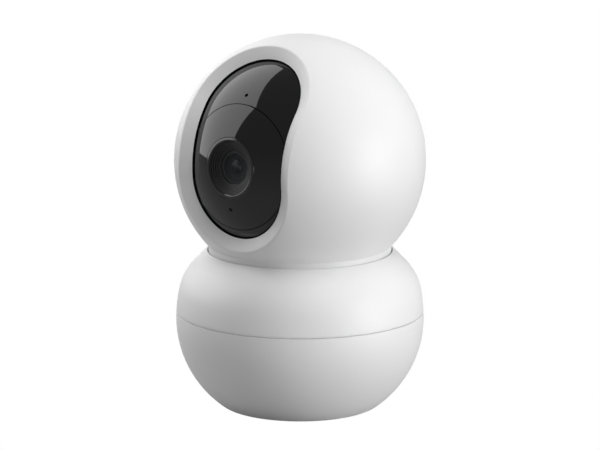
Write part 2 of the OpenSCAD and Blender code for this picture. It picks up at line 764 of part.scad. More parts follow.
module status_led() color("white") toward(light_up) translate([-0.8, -0.6, under_skin(pipe_cap_r) - 2])
    cube([1.6, 1.2, 1]);

module microsd_socket() color("silver") toward(card_up) difference() {
    translate([-7, -card_socket_t / 2, card_socket_from]) cube([14, card_socket_t, 14]);
    translate([-5.6, -0.8, card_socket_from + 0.6]) cube([11.2, 1.4, 20]);
}

base_lower_shell();
base_upper_shell();
foot_ring();
ballast_plate();
tripod_insert();
power_board();
usb_socket();
reset_switch();
reset_button();
speaker();
speaker_gasket();
base_deck();
deck_screws();
shell_screws();
pan_bush();
pan_motor();
pan_motor_screws();
pan_pinion();
pan_cup();
pan_gear();
hub_retainer();
retainer_screws();
pan_cable();
yoke();
yoke_screws();
tilt_bush_left();
tilt_bush_right();
tilt_motor();
tilt_pinion();
head_front_shell();
head_rear_shell();
wifi_antenna();
ball_front_cover();
ball_rear_cover();
ball_frame();
frame_screws();
tilt_axle_left();
tilt_axle_right();
tilt_gear();
lens_face();
lens_ring();
front_glass();
lens_barrel();
lens_element_front();
lens_element_rear();
lens_holder();
image_sensor();
sensor_board();
main_board();
shield_can();
ir_led_board();
ir_leds();
microphone();
light_pipe();
status_led();
microsd_socket();
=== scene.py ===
from math import asin, atan2, cos, degrees, pi, radians, sin, sqrt

import bmesh
import bpy
from mathutils import Matrix, Vector


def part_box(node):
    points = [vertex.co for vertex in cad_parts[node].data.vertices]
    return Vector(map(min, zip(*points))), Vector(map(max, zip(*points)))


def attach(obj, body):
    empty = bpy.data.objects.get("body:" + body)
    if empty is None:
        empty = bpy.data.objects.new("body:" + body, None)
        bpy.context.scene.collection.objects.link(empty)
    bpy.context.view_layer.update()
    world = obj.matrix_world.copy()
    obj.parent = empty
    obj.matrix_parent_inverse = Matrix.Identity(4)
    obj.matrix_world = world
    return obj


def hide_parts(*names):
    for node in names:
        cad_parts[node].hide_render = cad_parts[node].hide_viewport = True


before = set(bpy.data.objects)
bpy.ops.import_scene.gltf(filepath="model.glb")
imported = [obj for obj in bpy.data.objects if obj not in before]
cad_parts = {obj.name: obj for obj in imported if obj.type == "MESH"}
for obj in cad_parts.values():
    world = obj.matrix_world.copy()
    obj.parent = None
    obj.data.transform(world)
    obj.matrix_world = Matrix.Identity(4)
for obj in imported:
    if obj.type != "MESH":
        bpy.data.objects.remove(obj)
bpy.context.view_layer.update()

MM = 0.001

# ---- sizes, in millimetres as in the part's own source ------------------------------------

def middle(node):
    """Centre of a CAD node's box, in metres."""
    return [(low + high) / 2 for low, high in zip(*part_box(node))]


# Tilt axis and head
HEAD = Vector(middle("tilt_axle_left"))
HEAD.x = 0.0
HEAD_R = 39.0
HEAD_WALL = 2.0
HEAD_SPLIT_Y = 10.0
NECK_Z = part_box("pan_cup")[1][2] / MM

# Slot up the front of the head
SLOT_LOW = -5.0
SLOT_HIGH = 39.0
WINDOW_ANGLE = 29.6
BEVEL_ANGLE = 33.0
WINDOW_R = 35.25
RIM_ANGLE = 35.0
SLOT_RIM_ROUND = 0.45

# Ball, lens face and lens
BALL_R = 34.9
BALL_WALL = 1.8
BALL_HALF_W = 20.0
BALL_BACK_Y = 3.0
LENS_UP = 4.0
FACE_ANGLE = 33.2
FACE_GAP = 0.3
RING_R = 9.4
LIP_R = 8.4
RING_FRONT = sqrt(BALL_R ** 2 - RING_R ** 2)

# Base
SEAM_Z = 30.4
BASE_WALL = 2.2
UPPER_ARC = ((-5.3, 28.0), 44.0)
SHOULDER_ARC = ((21.11, 33.61), 17.0)
BOWL_ARC = ((5.2, 28.0), 33.5)
BOTTOM_ARC = ((23.5, 3.6), 3.0)
SHOULDER_FROM = 12.0
FLANK_ANGLE = 45.0
BOWL_ANGLE = 53.13
MOUTH_R = 28.85
MOUTH_TOP = 49.7
UNDERSIDE = 0.6
FOOT_IN, FOOT_OUT, FOOT_TOP = 13.5, 20.8, 1.3
INSERT_R, INSERT_TOP = 4.8, 7.6
BOSS_WALL, BOSS_TOP = 1.6, 10.0
ROUND_STEPS = 192


def toward(up):
    """Unit vector out of the head's centre at an elevation above the front."""
    return Vector((0, -cos(radians(up)), sin(radians(up))))


def facing(up):
    """Matrix that stands +Z on the head's centre and points it at an elevation above the front."""
    return Matrix.Translation(HEAD) @ Matrix.Rotation(radians(90 - up), 4, "X")


# ---- materials ------------------------------------------------------------------------------

def linear(hex_colour):
    """sRGB hex to linear RGBA."""
    parts = [int(hex_colour[i:i + 2], 16) / 255 for i in (0, 2, 4)]
    return [p / 12.92 if p <= 0.04045 else ((p + 0.055) / 1.055) ** 2.4 for p in parts] + [1.0]


def add_node(tree, kind, settings=None, links=None):
    """Adds a node, sets its options and sockets, and links its inputs."""
    node = tree.nodes.new(kind)
    for key, value in (settings or {}).items():
        if isinstance(key, str) and hasattr(node, key):
            setattr(node, key, value)
        else:
            node.inputs[key].default_value = value
    for key, source in (links or {}).items():
        tree.links.new(source, node.inputs[key])
    return node


DRIFT_MM = 18.0  # size of the slow change of colour and gloss over a piece


def surface(name, colour, roughness, grain_mm, depth_mm, shade=0.05, rough_shade=0.06, stretch=(1, 1, 1),
            **sockets):
    """A finish whose grain has a real size: fine bump, a little colour drift and uneven gloss."""
    material = bpy.data.materials.new(name)
    material.use_nodes = True
    tree = material.node_tree
    tree.nodes.clear()
    place = add_node(tree, "ShaderNodeTexCoord")
    turn = add_node(tree, "ShaderNodeMapping", {"Scale": stretch}, {"Vector": place.outputs["Object"]})
    grain = add_node(tree, "ShaderNodeTexNoise",
                     {"Scale": 1 / (grain_mm * MM), "Detail": 3.0, "Roughness": 0.6},
                     {"Vector": turn.outputs["Vector"]})
    drift = add_node(tree, "ShaderNodeTexNoise", {"Scale": 1 / (DRIFT_MM * MM), "Detail": 2.0},
                     {"Vector": turn.outputs["Vector"]})
    light = linear(colour)
    dark = [c * (1 - shade) for c in light[:3]] + [1.0]
    tint = add_node(tree, "ShaderNodeMix", {"data_type": "RGBA", 6: dark, 7: light},
                    {0: drift.outputs["Fac"]})
    smoothest, roughest = max(roughness - rough_shade, 0.0), roughness + rough_shade
    gloss = add_node(tree, "ShaderNodeMapRange", {"To Min": smoothest, "To Max": roughest},
                     {"Value": drift.outputs["Fac"]})
    bump = add_node(tree, "ShaderNodeBump", {"Strength": 1.0, "Distance": depth_mm * MM},
                    {"Height": grain.outputs["Fac"]})
    shader = add_node(tree, "ShaderNodeBsdfPrincipled", sockets,
                      {"Base Color": tint.outputs[2], "Roughness": gloss.outputs["Result"],
                       "Normal": bump.outputs["Normal"]})
    add_node(tree, "ShaderNodeOutputMaterial", None, {"Surface": shader.outputs["BSDF"]})
    return material


# Moulded ABS with a fine spark-eroded texture: reads as a soft satin white with no clear reflection
WHITE_ABS = surface("moulded_white_abs", "F1F1F1", 0.50, 0.45, 0.004, shade=0.015, **{"IOR": 1.53})
# Polished infrared-passing polycarbonate: nearly black, with sharp reflections
BLACK_GLOSS = surface("polished_ir_polycarbonate", "0C0C0D", 0.045, 2.0, 0.0002, shade=0.3, rough_shade=0.01,
                      **{"IOR": 1.58})
# Moulded black ABS: dull black with a broad weak highlight
BLACK_ABS = surface("moulded_black_abs", "101011", 0.42, 0.4, 0.004, shade=0.2, **{"IOR": 1.53})
# Lens ring: satin black ABS, smoother than the rest, so its lip catches a thin line of light
RING_SATIN = surface("satin_black_abs", "0E0E0F", 0.12, 0.5, 0.0005, shade=0.2, rough_shade=0.03,
                     **{"IOR": 1.7})
# Black baffle plastic round the lens: matt, so its steps show only as faint rings
BAFFLE_BLACK = surface("matt_black_baffle", "1C1C1D", 0.5, 0.4, 0.002, shade=0.2, **{"IOR": 1.45})
# Small glass lenses, coated for infrared: a faint glint from the panel
LENS_GLASS = surface("coated_lens_glass", "D9DCE0", 0.02, 2.0, 0.0, shade=0.02, rough_shade=0.005,
                     **{"IOR": 1.38, "Transmission Weight": 1.0})
# Near-black matt colour for a thin strip inside the slot's edge: painted shade that stands for the deep
# shadow in the gap round the ball
GAP_SHADE_PAINT = surface("painted_gap_shade", "020202", 0.95, 0.3, 0.02, shade=0.2, rough_shade=0.03,
                      **{"Specular IOR Level": 0.1})
# Grey ABS for the inner frames and the button: plain moulded grey
GREY_ABS = surface("moulded_grey_abs", "B9BABC", 0.48, 0.45, 0.005, **{"IOR": 1.53})
# Natural acetal for gears and bearings: milky and slightly waxy
ACETAL = surface("natural_acetal", "E9E6DC", 0.32, 0.6, 0.002,
                 **{"IOR": 1.48, "Subsurface Weight": 0.1, "Subsurface Radius": [0.002, 0.002, 0.0018]})
# Soft thermoplastic rubber of the foot: dark grey and dry looking
RUBBER = surface("moulded_grey_rubber", "2B2B2C", 0.78, 0.35, 0.012, shade=0.15, **{"IOR": 1.5})
# Zinc plated steel: bright grey with a faint bluish cast and fine drawing lines
ZINC_STEEL = surface("zinc_plated_steel", "B9BDC2", 0.3, 0.25, 0.002, stretch=(1, 1, 0.15),
                     **{"Metallic": 1.0})
# Tinned steel of the socket and the shield can: smoother and warmer than zinc
TINNED_STEEL = surface("tinned_steel", "C9C7C2", 0.22, 0.4, 0.001, **{"Metallic": 1.0})
# Turned brass insert: yellow metal with fine rings
BRASS = surface("turned_brass", "C9A04E", 0.26, 0.3, 0.002, stretch=(0.1, 0.1, 1), **{"Metallic": 1.0})
# Circuit board: green solder mask over copper, glossy with a slight unevenness
SOLDER_MASK = surface("green_solder_mask", "0E4A2B", 0.28, 0.9, 0.006, shade=0.35,
                      **{"IOR": 1.5, "Coat Weight": 0.4})
# Moulded epoxy of chips, switches and cable skins: dull charcoal
EPOXY = surface("moulded_epoxy", "1B1B1C", 0.55, 0.3, 0.006, shade=0.2, **{"IOR": 1.55})
# Frosted smoked acrylic of the light pipe: a dull dark dot until the light is on
ACRYLIC = surface("smoked_acrylic", "060607", 0.6, 0.4, 0.002, shade=0.2, **{"IOR": 1.3})
# Coated optical glass: clear, its coating leaves only a faint reflection
OPTICAL_GLASS = surface("coated_optical_glass", "D9DCE0", 0.02, 2.0, 0.0, shade=0.02, rough_shade=0.005,
                        **{"IOR": 1.25, "Transmission Weight": 1.0})


# ---- modelling ------------------------------------------------------------------------------

def outline(bm, start, moves):
    """Draws a half section in the XZ plane: straight moves are (r, z), arcs are ((r, z), degrees, steps)."""
    vert = bm.verts.new((start[0], 0, start[1]))
    for move in moves:
        if len(move) == 2:
            vert = bmesh.ops.extrude_vert_indiv(bm, verts=[vert])["verts"][0]
            vert.co = (move[0], 0, move[1])
        else:
            (r, z), angle, steps = move
            turned = bmesh.ops.spin(bm, geom=[vert], cent=(r, 0, z), axis=(0, -1, 0), angle=radians(angle),
                                    steps=steps)
            vert = [v for v in turned["geom_last"] if isinstance(v, bmesh.types.BMVert)][0]


def sharpen(bm, limit=28):
    """Smooth faces, with edges kept crisp where two faces meet at more than the limit."""
    for face in bm.faces:
        face.smooth = True
    for edge in bm.edges:
        edge.smooth = len(edge.link_faces) == 2 and edge.calc_face_angle(0) < radians(limit)


def put(name, data):
    """Puts a mesh, lamp or camera in the scene, at the origin."""
    thing = bpy.data.objects.new(name, data)
    bpy.context.scene.collection.objects.link(thing)
    return thing


def solid(name, bm):
    """Puts a finished bmesh in the scene."""
    mesh = bpy.data.meshes.new(name)
    bm.to_mesh(mesh)
    bm.free()
    return put(name, mesh)


def piece(name, bm, material, body, nodes=()):
    """Makes the finished piece, puts it on the body it rides on, and hides the CAD nodes it stands for."""
    thing = solid(name, bm)
    thing.data.materials.append(material)
    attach(thing, body)
    if nodes:
        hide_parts(*nodes)
    return thing


def lathe(start, moves, steps=128, matrix=None):
    """Turns a half section, drawn in millimetres, into a closed round part, in metres."""
    bm = bmesh.new()
    outline(bm, start, moves)
    bmesh.ops.remove_doubles(bm, verts=bm.verts, dist=0.0005)
    bmesh.ops.spin(bm, geom=bm.verts[:] + bm.edges[:], cent=(0, 0, 0), axis=(0, 0, 1), angle=2 * pi,
                   steps=steps, use_merge=True)
    bmesh.ops.remove_doubles(bm, verts=bm.verts, dist=0.0005)
    bmesh.ops.recalc_face_normals(bm, faces=bm.faces)
    bmesh.ops.scale(bm, vec=(MM, MM, MM), verts=bm.verts)
    if matrix:
        bmesh.ops.transform(bm, matrix=matrix, verts=bm.verts)
    sharpen(bm)
    return bm


def sphere_normals(mesh, radius_mm):
    """Gives the faces that lie on a sphere about the head's centre that sphere's exact normals."""
    centre, radius = HEAD, radius_mm * MM
    on_sphere = [abs((v.co - centre).length - radius) < 0.00002 for v in mesh.vertices]
    normals = [c.vector.copy() for c in mesh.corner_normals]
    for polygon in mesh.polygons:
        if all(on_sphere[v] for v in polygon.vertices):
            for loop in polygon.loop_indices:
                normals[loop] = (mesh.vertices[mesh.loops[loop].vertex_index].co - centre).normalized()
    mesh.normals_split_custom_set(normals)


def cut(thing, *tools, operation="DIFFERENCE"):
    """Cuts tool meshes out of a piece, or keeps only what lies inside them, and applies it."""
    for tool in tools:
        cutter = solid("tool", tool)
        boolean = thing.modifiers.new("cut", "BOOLEAN")
        boolean.object, boolean.operation, boolean.solver = cutter, operation, "EXACT"
        done = bpy.data.meshes.new_from_object(thing.evaluated_get(bpy.context.evaluated_depsgraph_get()))
        thing.modifiers.clear()
        done.name = thing.name
        thing.data = done
        bpy.data.objects.remove(cutter)
    bm = bmesh.new()
    bm.from_mesh(thing.data)
    bmesh.ops.remove_doubles(bm, verts=bm.verts, dist=1e-7)
    sharpen(bm)
    bm.to_mesh(thing.data)
    bm.free()


def peg(radius, length, matrix, segments=24):
    """Round tool of a radius, from the matrix's origin along its +Z, in millimetres."""
    bm = bmesh.new()
    bmesh.ops.create_cone(bm, cap_ends=True, segments=segments, radius1=radius * MM, radius2=radius * MM,
                          depth=length * MM)
    bmesh.ops.translate(bm, vec=(0, 0, length * MM / 2), verts=bm.verts)
    bmesh.ops.transform(bm, matrix=matrix, verts=bm.verts)
    return bm


def block(size, centre, round_mm, along="Y", segments=5):
    """Box with rounded edges along one axis, in millimetres."""
    bm = bmesh.new()
    bmesh.ops.create_cube(bm, size=1.0)
    bmesh.ops.scale(bm, vec=[s * MM for s in size], verts=bm.verts)
    lengthways = [e for e in bm.edges if abs((e.verts[0].co - e.verts[1].co)["XYZ".index(along)]) > 1e-6]
    bmesh.ops.bevel(bm, geom=lengthways, offset=round_mm * MM, offset_type="OFFSET", segments=segments,
                    profile=0.5, affect="EDGES", material=-1)
    bmesh.ops.translate(bm, vec=[c * MM for c in centre], verts=bm.verts)
    return bm


# ---- base -----------------------------------------------------------------------------------

def height_angle(arc, wall, z):
    """Angle on an arc, inset by a wall, at which it reaches a height."""
    return degrees(asin((z - arc[0][1]) / (arc[1] - wall)))


# Fine gap at the seam, with its edges just broken
SEAM_GAP = 0.16
SEAM_LIP = 0.07
SEAM_DEPTH = 1.1
seam_r = UPPER_ARC[0][0] + sqrt(UPPER_ARC[1] ** 2 - (SEAM_Z - UPPER_ARC[0][1]) ** 2)
lower_top = SEAM_Z - SEAM_GAP / 2
upper_low = SEAM_Z + SEAM_GAP / 2
inside_low_r = UPPER_ARC[0][0] + sqrt((UPPER_ARC[1] - BASE_WALL) ** 2 - (SEAM_Z - UPPER_ARC[0][1]) ** 2)

# Underside of the bowl from the tripod insert's hole to the outside, with the foot's groove
UNDERSIDE_LINE = [
    (INSERT_R, INSERT_TOP), (INSERT_R, UNDERSIDE), (FOOT_IN - 0.1, UNDERSIDE), (FOOT_IN - 0.1, FOOT_TOP),
    (FOOT_OUT + 0.1, FOOT_TOP), (FOOT_OUT + 0.1, UNDERSIDE), (BOTTOM_ARC[0][0], UNDERSIDE),
]
# Outside of the bowl from the underside up to the seam
BOWL_OUTSIDE = [
    (BOTTOM_ARC[0], 90 - BOWL_ANGLE, 6), (BOWL_ARC[0], BOWL_ANGLE, 28),
    (UPPER_ARC[0], height_angle(UPPER_ARC, 0, lower_top - SEAM_LIP), 2),
]
lower = lathe((0, INSERT_TOP), UNDERSIDE_LINE + BOWL_OUTSIDE + [
    (seam_r - SEAM_LIP * 0.3, lower_top - SEAM_LIP * 0.3), (seam_r - SEAM_LIP, lower_top),
    (seam_r - SEAM_DEPTH, lower_top), (seam_r - SEAM_DEPTH, SEAM_Z), (inside_low_r, SEAM_Z),
    (UPPER_ARC[0], -height_angle(UPPER_ARC, BASE_WALL, SEAM_Z), 2), (BOWL_ARC[0], -BOWL_ANGLE, 20),
    (BOTTOM_ARC[0], BOWL_ANGLE - 90, 3), (INSERT_R + BOSS_WALL, UNDERSIDE + BASE_WALL),
    (INSERT_R + BOSS_WALL, BOSS_TOP), (0, BOSS_TOP)], steps=ROUND_STEPS)
base_bottom = piece("base_bottom", lower, WHITE_ABS, "base", ["base_lower_shell"])

flank_from = (SHOULDER_ARC[1] * cos(radians(FLANK_ANGLE)) + SHOULDER_ARC[0][0],
              SHOULDER_ARC[1] * sin(radians(FLANK_ANGLE)) + SHOULDER_ARC[0][1])
flank_inside = (flank_from[0] - BASE_WALL * cos(radians(FLANK_ANGLE)),
                flank_from[1] - BASE_WALL * sin(radians(FLANK_ANGLE)))
mouth_edge_r = flank_from[0] - (MOUTH_TOP - flank_from[1])
upper_from = height_angle(UPPER_ARC, 0, upper_low + SEAM_LIP)
upper_start = (UPPER_ARC[0][0] + UPPER_ARC[1] * cos(radians(upper_from)), upper_low + SEAM_LIP)
upper = lathe((inside_low_r, SEAM_Z), [
    (seam_r - SEAM_DEPTH, SEAM_Z), (seam_r - SEAM_DEPTH, upper_low), (seam_r - SEAM_LIP, upper_low),
    (seam_r - SEAM_LIP * 0.3, upper_low + SEAM_LIP * 0.3), upper_start,
    (UPPER_ARC[0], SHOULDER_FROM - upper_from, 8), (SHOULDER_ARC[0], FLANK_ANGLE - SHOULDER_FROM, 14),
    (mouth_edge_r + 0.25, MOUTH_TOP - 0.25), (mouth_edge_r + 0.06, MOUTH_TOP - 0.04),
    (mouth_edge_r - 0.08, MOUTH_TOP), (MOUTH_R, MOUTH_TOP - 0.08),
    (MOUTH_R, flank_inside[1] + flank_inside[0] - MOUTH_R), flank_inside,
    (SHOULDER_ARC[0], SHOULDER_FROM - FLANK_ANGLE, 10),
    (UPPER_ARC[0], height_angle(UPPER_ARC, BASE_WALL, SEAM_Z) - SHOULDER_FROM, 6)], steps=ROUND_STEPS)
piece("base_top", upper, WHITE_ABS, "base", ["base_upper_shell"])

# Rubber foot with rounded edges and three shallow grooves under it
GROOVE_DEPTH = 0.3
foot_section = [(FOOT_IN, 0.25), (FOOT_IN + 0.25, 0.0)]
for groove_r in (15.7, 17.2, 18.6):
    foot_section += [(groove_r - 0.3, 0.0), (groove_r, GROOVE_DEPTH), (groove_r + 0.3, 0.0)]
foot_section += [(FOOT_OUT - 0.25, 0.0), (FOOT_OUT, 0.25), (FOOT_OUT, FOOT_TOP), (FOOT_IN, FOOT_TOP)]
foot = lathe((FOOT_IN, FOOT_TOP), foot_section, steps=96)
piece("foot", foot, RUBBER, "base", ["foot_ring"])

# Rear: plug recess with its socket, reset button and grille
REAR = Matrix.Rotation(-pi / 2, 4, "X")
RECESS = (13.0, 8.0)
RECESS_FLOOR_Y = 30.0
RECESS_Z = 13.0
RECESS_DEPTH = 20
TRAY_WALL = 1.4
TRAY_BACK_Y = 28.6
TRAY_DEPTH = 12


def tray_block():
    """The plug recess with its walls, before it is hollowed."""
    return block((RECESS[0] + 2 * TRAY_WALL, TRAY_DEPTH, RECESS[1] + 2 * TRAY_WALL),
                 (0, TRAY_BACK_Y + TRAY_DEPTH / 2, RECESS_Z), 2.6)


plug_room = block((RECESS[0], RECESS_DEPTH, RECESS[1]), (0, RECESS_FLOOR_Y + RECESS_DEPTH / 2, RECESS_Z), 1.6)
SOCKET_Z = middle("usb_socket")[2] / MM
socket_window = block((8.94, 8, 3.26), (0, RECESS_FLOOR_Y, SOCKET_Z), 1.6, segments=8)
BUTTON = middle("reset_button")
BUTTON_TIP_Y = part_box("reset_button")[1][1]
button_bore = peg(1.8, 20, Matrix.Translation((BUTTON[0], 0.02, BUTTON[2])) @ REAR, 40)
cut(base_bottom, tray_block(), button_bore)
grille = bmesh.new()
GRILLE_Z, GRILLE_PITCH, GRILLE_HOLE_R = 25.4, 2.6, 0.7
for i in range(-3, 4):
    for j in (-1, 0, 1):
        if abs(i) + abs(j) < 4:
            hole = Vector((i * GRILLE_PITCH, 34.5, GRILLE_Z + j * GRILLE_PITCH)) * MM
            bmesh.ops.create_cone(grille, cap_ends=True, segments=20, radius1=GRILLE_HOLE_R * MM,
                                  radius2=GRILLE_HOLE_R * MM, depth=14 * MM,
                                  matrix=Matrix.Translation(hole) @ REAR)
cut(base_bottom, grille)
plug_tray = piece("plug_tray", tray_block(), WHITE_ABS, "base")
filled_line = [(BOTTOM_ARC[0][0], UNDERSIDE)] + BOWL_OUTSIDE + [(0, lower_top - SEAM_LIP)]
filled_bowl = lathe((0, UNDERSIDE), filled_line, steps=ROUND_STEPS)
cut(plug_tray, filled_bowl, operation="INTERSECT")
cut(plug_tray, plug_room, socket_window)

# Socket shell: a thin flat tube with round ends, drawn as a circle that is pulled apart
SOCKET_ROUND_R, SOCKET_HALF_FLAT, SOCKET_DEPTH, SOCKET_WALL, SOCKET_BACK_Y = 1.63, 2.84, 7.3, 0.3, 22.68
socket = bmesh.new()
bmesh.ops.create_circle(socket, cap_ends=False, segments=40, radius=SOCKET_ROUND_R * MM)
for vert in socket.verts:
    vert.co.x += (1 if vert.co.x > 0 else -1) * SOCKET_HALF_FLAT * MM
walls = bmesh.ops.extrude_edge_only(socket, edges=socket.edges[:])["geom"]
bmesh.ops.translate(socket, vec=(0, 0, SOCKET_DEPTH * MM),
                    verts=[v for v in walls if isinstance(v, bmesh.types.BMVert)])
bmesh.ops.recalc_face_normals(socket, faces=socket.faces)
bmesh.ops.solidify(socket, geom=socket.faces[:], thickness=SOCKET_WALL * MM)
bmesh.ops.transform(socket, matrix=Matrix.Translation((0, SOCKET_BACK_Y * MM, SOCKET_Z * MM)) @ REAR,
                    verts=socket.verts)
bmesh.ops.recalc_face_normals(socket, faces=socket.faces)
sharpen(socket)
piece("usb_shell", socket, TINNED_STEEL, "base", ["usb_socket"])
tongue = block((6.7, 5.6, 0.7), (0, 26.2, SOCKET_Z), 0.2, along="Y", segments=3)
sharpen(tongue)
piece("usb_tongue", tongue, EPOXY, "base")
back_wall = block((7.9, 0.6, 2.4), (0, 23.3, SOCKET_Z), 1.1, along="Y", segments=6)
sharpen(back_wall)
piece("usb_back", back_wall, EPOXY, "base")

# Button with its flange inside and a softly rounded tip
BUTTON_R, BUTTON_LONG = 1.7, 5.2
button = lathe((0, 0), [(2.6, 0), (2.6, 0.6), (BUTTON_R, 0.6), (BUTTON_R, 4.85), (1.62, 5.05), (1.35, 5.16),
                        (0, BUTTON_LONG)], steps=48,
               matrix=Matrix.Translation((BUTTON[0], BUTTON_TIP_Y - BUTTON_LONG * MM, BUTTON[2])) @ REAR)
piece("button_cap", button, GREY_ABS, "button", ["reset_button"])

# ---- neck and head --------------------------------------------------------------------------

# Neck collar, with its floor and the hub that turns in the base
COLLAR_R, COLLAR_IN = 28.5, 26.5
COLLAR_FLOOR, COLLAR_FLOOR_TOP = 38.6, 40.6
HUB_IN, HUB_R, HUB_LOW = 5, 8, 29.2
collar = lathe((HUB_IN, HUB_LOW), [
    (HUB_R, HUB_LOW), (HUB_R, COLLAR_FLOOR), (COLLAR_R - 0.2, COLLAR_FLOOR), (COLLAR_R, COLLAR_FLOOR + 0.2),
    (COLLAR_R, NECK_Z), (COLLAR_IN, NECK_Z), (COLLAR_IN, COLLAR_FLOOR_TOP), (HUB_IN, COLLAR_FLOOR_TOP),
    (HUB_IN, HUB_LOW)], steps=160)
piece("neck_collar", collar, WHITE_ABS, "head", ["pan_cup"])

END_STEPS = 72
SIDE_STEPS = 18
BACK_STEPS = 54


def slot_section(bm, stations):
    """Polyline of (radius, angle from the slot's middle) in the plane of the slot's lower end."""
    across = Vector((1, 0, 0))
    vert = None
    for radius, angle in stations:
        spot = HEAD + (toward(SLOT_LOW) * cos(radians(angle)) + across * sin(radians(angle))) * radius * MM
        vert = bmesh.ops.extrude_vert_indiv(bm, verts=[vert])["verts"][0] if vert else bm.verts.new(spot)
        vert.co = spot


def sweep_slot(bm):
    """Carries the section up one side, round the top, down the other side and round the bottom."""
    geom = bm.verts[:] + bm.edges[:]
    sweep = radians(SLOT_HIGH - SLOT_LOW)
    for axis, angle, steps in (((-1, 0, 0), sweep, SIDE_STEPS), (toward(SLOT_HIGH), pi, END_STEPS),
                               ((1, 0, 0), sweep, SIDE_STEPS), (toward(SLOT_LOW), pi, END_STEPS)):
        geom = bmesh.ops.spin(bm, geom=geom, cent=HEAD, axis=axis, angle=angle, steps=steps)["geom_last"]


def back_of_sphere(bm, radius):
    """Closes a sphere behind the slot's sweep: a half circle over the top, turned down the back."""
    vert = bm.verts.new(HEAD + Vector((radius * MM, 0, 0)))
    bmesh.ops.spin(bm, geom=[vert], cent=HEAD, axis=toward(SLOT_HIGH), angle=pi, steps=END_STEPS)
    arc_verts = [v for v in bm.verts if not v.link_faces and abs((v.co - HEAD).length - radius * MM) < 1e-7]
    arc_edges = [e for e in bm.edges if not e.link_faces and all(v in arc_verts for v in e.verts)]
    bmesh.ops.spin(bm, geom=arc_verts + arc_edges, cent=HEAD, axis=(-1, 0, 0),
                   angle=radians(180 - (SLOT_HIGH - SLOT_LOW)), steps=BACK_STEPS)


RINGS = 22
CROWD = 1.15  # brings the outer rings a little closer together near the slot
outer_rings = [(HEAD_R, BEVEL_ANGLE + (90 - BEVEL_ANGLE) * (i / RINGS) ** CROWD) for i in range(RINGS + 1)]
inner_r = HEAD_R - HEAD_WALL
inner_rings = [(inner_r, 90 - (90 - RIM_ANGLE) * i / RINGS) for i in range(RINGS + 1)]
skin = bmesh.new()
slot_section(skin, inner_rings + [(WINDOW_R, RIM_ANGLE), (WINDOW_R, WINDOW_ANGLE)] + outer_rings)
sweep_slot(skin)
back_of_sphere(skin, HEAD_R)
back_of_sphere(skin, inner_r)
bmesh.ops.remove_doubles(skin, verts=skin.verts, dist=2e-6)
bmesh.ops.dissolve_degenerate(skin, edges=skin.edges, dist=1e-7)
bmesh.ops.recalc_face_normals(skin, faces=skin.faces)
on_outside = (HEAD_R - 0.05) * MM
slot_rim = [e for e in skin.edges if len(e.link_faces) == 2 and e.calc_face_angle(0) > radians(20)
            and min((v.co - HEAD).length for v in e.verts) > on_outside]
bmesh.ops.bevel(skin, geom=slot_rim, offset=SLOT_RIM_ROUND * MM, offset_type="OFFSET", segments=5,
                profile=0.5, affect="EDGES", material=-1)
bmesh.ops.bisect_plane(skin, geom=skin.verts[:] + skin.edges[:] + skin.faces[:], plane_co=(0, 0, NECK_Z * MM),
                       plane_no=(0, 0, 1), clear_inner=True)
bmesh.ops.bridge_loops(skin, edges=[e for e in skin.edges if e.is_boundary])
rear_skin = skin.copy()
for half, clear in ((skin, "clear_outer"), (rear_skin, "clear_inner")):
    bmesh.ops.bisect_plane(half, geom=half.verts[:] + half.edges[:] + half.faces[:],
                           plane_co=(0, HEAD_SPLIT_Y * MM, 0), plane_no=(0, 1, 0), **{clear: True})
    filled = bmesh.ops.edgeloop_fill(half, edges=[e for e in half.edges if e.is_boundary])
    bmesh.ops.triangulate(half, faces=filled["faces"])
    bmesh.ops.recalc_face_normals(half, faces=half.faces)
    sharpen(half, 35)
head_front = piece("head_front", skin, WHITE_ABS, "head", ["head_front_shell"])
head_rear = piece("head_rear", rear_skin, WHITE_ABS, "head", ["head_rear_shell"])
for shell in (head_front, head_rear):
    sphere_normals(shell.data, HEAD_R)

# Thin near-black strip on the slot's inner edge: painted shade, so the gap round the ball reads as the dark
# line of its deep shadow
gap_shade_strip = bmesh.new()
SHADE_STRIP_LOW, SHADE_STRIP_HIGH, SHADE_STRIP_LIFT = -0.33, 0.12, 0.04
slope = atan2(HEAD_R * sin(radians(BEVEL_ANGLE)) - WINDOW_R * sin(radians(WINDOW_ANGLE)),
              HEAD_R * cos(radians(BEVEL_ANGLE)) - WINDOW_R * cos(radians(WINDOW_ANGLE)))


def on_bevel(distance, lift=0.0):
    """(radius, angle) of a point up the bevel from its inner edge, lifted off its face."""
    along = WINDOW_R * cos(radians(WINDOW_ANGLE)) + distance * cos(slope) + lift * sin(slope)
    side = WINDOW_R * sin(radians(WINDOW_ANGLE)) + distance * sin(slope) - lift * cos(slope)
    return sqrt(along ** 2 + side ** 2), degrees(atan2(side, along))


slot_section(gap_shade_strip, [on_bevel(SHADE_STRIP_LOW, -SHADE_STRIP_LIFT), on_bevel(SHADE_STRIP_LOW, SHADE_STRIP_LIFT),
                      on_bevel(SHADE_STRIP_HIGH, SHADE_STRIP_LIFT), on_bevel(SHADE_STRIP_HIGH, -SHADE_STRIP_LIFT),
                      on_bevel(SHADE_STRIP_LOW, -SHADE_STRIP_LIFT)])
sweep_slot(gap_shade_strip)
bmesh.ops.remove_doubles(gap_shade_strip, verts=gap_shade_strip.verts, dist=2e-6)
bmesh.ops.recalc_face_normals(gap_shade_strip, faces=gap_shade_strip.faces)
sharpen(gap_shade_strip)
# The strip is painted shade, not a real part of the head
piece("slot_gap_painted_shade", gap_shade_strip, GAP_SHADE_PAINT, "head")

# ---- ball -----------------------------------------------------------------------------------

def around_lens(rings):
    """Half section about the lens axis, from (radius from the head's centre, angle off the axis)."""
    points = [(r * sin(radians(a)), r * cos(radians(a))) for r, a in rings]
    return points[0], points[1:] + [points[0]]


def arc_rings(radius, first, last, count):
    """Evenly spaced (radius, angle) rings from the first angle to the last."""
    return [(radius, first + (last - first) * i / count) for i in range(count + 1)]


